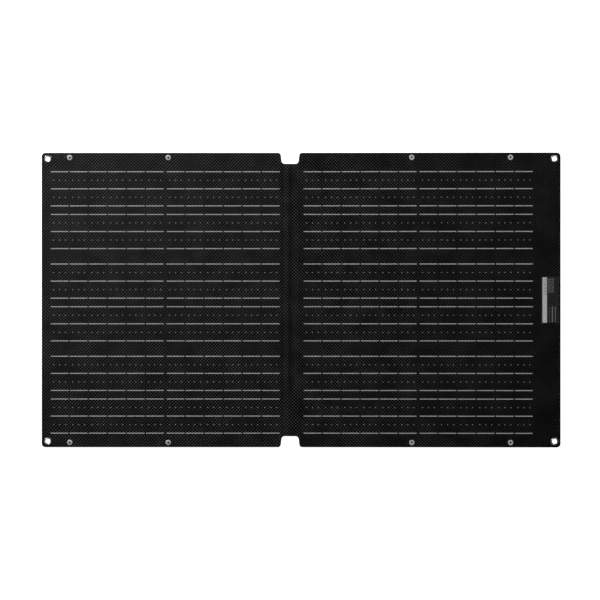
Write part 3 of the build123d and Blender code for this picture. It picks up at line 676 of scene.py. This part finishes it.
def rule_items():
    """Short rules in three columns at the foot of the label, and a block of them at its head."""
    for column, (count, length, width) in enumerate(COLUMNS):
        x = label_low[0] + COLUMNS_IN + column * COLUMN_STEP
        for number in range(count):
            y = label_low[1] + COLUMN_FROM + number * COLUMN_HEIGHT / count
            yield rounded((width, length), RULE_CORNER), (x, y + length / 2, label_top)
    for column in range(5):
        for number in range(6):
            length = BLOCK_RULE_LENGTHS[(column + number) % 3]
            x = label_low[0] + BLOCK_IN + column * BLOCK_STEP[0]
            y = label_high[1] - BLOCK_FROM - number * BLOCK_STEP[1]
            outline = rounded((BLOCK_RULE_WIDTH, length), MARK_CORNER)
            yield outline, (x, y - length / 2, label_top)


label_rules = plates("label_rules", LABEL_MARKS, BODIES["right"], list(rule_items()), PRINT_T)


def bar_items():
    """Dark blocks that mottle the upper part of the pale bar."""
    for column in range(3):
        for number in range(11):
            if (column + 2 * number) % 5:
                x = bar_x + (column - 0.6) * BAR_MARK_STEP[0]
                y = label_high[1] - BAR_MARKS_FROM - number * BAR_MARK_STEP[1]
                yield rounded(BAR_MARK, MARK_CORNER), (x, y, label_top + PRINT_T)


bar_marks = plates("bar_marks", LABEL, BODIES["right"], list(bar_items()), PRINT_T)

# ---- Floor, light and camera

FLOOR_SIZE = 30
FLOOR_TONE = grey(0.86)
TENT_SIDES, TENT_TOP = 3.5, 0.02
TENT_RIM = (0.55, 0.9)  # sines of the heights between which it goes from the one to the other
TENT_LEAN = (0.75, 1.25)  # its share of light at the lower right and the upper left
LAMPS = {  # place, point that it is turned to, size and power
    "key": ((-1.9, 1.7, 2.1), (-0.2, 0.1, 0), 0.9, 50),
    "side": ((1.7, 1.9, 2.3), (0.2, 0.1, 0), 0.9, 16),
}
VIEW_WIDTH = 1.26
LENS, SENSOR = 250.0, 36.0
CENTRE_SHIFT = 1.9 * MM  # how far right of the picture's middle the blanket lies


def stage():
    """White paper that gives some light of its own, so that it stays white under the object."""
    bpy.ops.mesh.primitive_plane_add(size=FLOOR_SIZE)
    floor = bpy.context.object
    floor.name = "floor"
    made, tree, shader = material("floor_paper")
    shader.inputs["Base Color"].default_value = FLOOR_TONE
    shader.inputs["Roughness"].default_value = 0.8
    shader.inputs["Specular IOR Level"].default_value = 0.1
    shader.inputs["Emission Color"].default_value = grey(1.0)
    shader.inputs["Emission Strength"].default_value = 1.0
    floor.data.materials.append(made)


def area_light(name, place, target, size, power):
    light = bpy.data.lights.new(name, "AREA")
    light.shape = "DISK"
    light.size = size
    light.energy = power
    lamp = bpy.data.objects.new(name, light)
    lamp.location = place
    lamp.rotation_euler = (Vector(target) - Vector(place)).to_track_quat("-Z", "Y").to_euler()
    bpy.context.scene.collection.objects.link(lamp)


def tent():
    """A light tent: bright at the sides, brightest to the upper left, and dark overhead."""
    world = bpy.data.worlds.new("studio")
    world.use_nodes = True
    tree = world.node_tree
    towards = parts_of(tree, put(tree, "TexCoord").outputs["Generated"])
    ring = spread(tree, towards[2], TENT_SIDES, TENT_TOP, *TENT_RIM)
    left = maths(tree, "SUBTRACT", towards[1], towards[0])
    level = maths(tree, "MULTIPLY", ring, spread(tree, left, *TENT_LEAN, -1, 1))
    feed(tree, level, tree.nodes["Background"].inputs["Strength"])
    bpy.context.scene.world = world


def camera():
    """Looks straight down from far off, as wide as VIEW_WIDTH on the floor."""
    data = bpy.data.cameras.new("camera")
    data.lens, data.sensor_width = LENS, SENSOR
    data.clip_end = 100
    eye = bpy.data.objects.new("camera", data)
    eye.location = (-CENTRE_SHIFT, 0, VIEW_WIDTH * LENS / SENSOR)
    bpy.context.scene.collection.objects.link(eye)
    bpy.context.scene.camera = eye


stage()
tent()
for name, lamp in LAMPS.items():
    area_light(name, *lamp)
camera()
bpy.context.scene.view_settings.view_transform = "Standard"
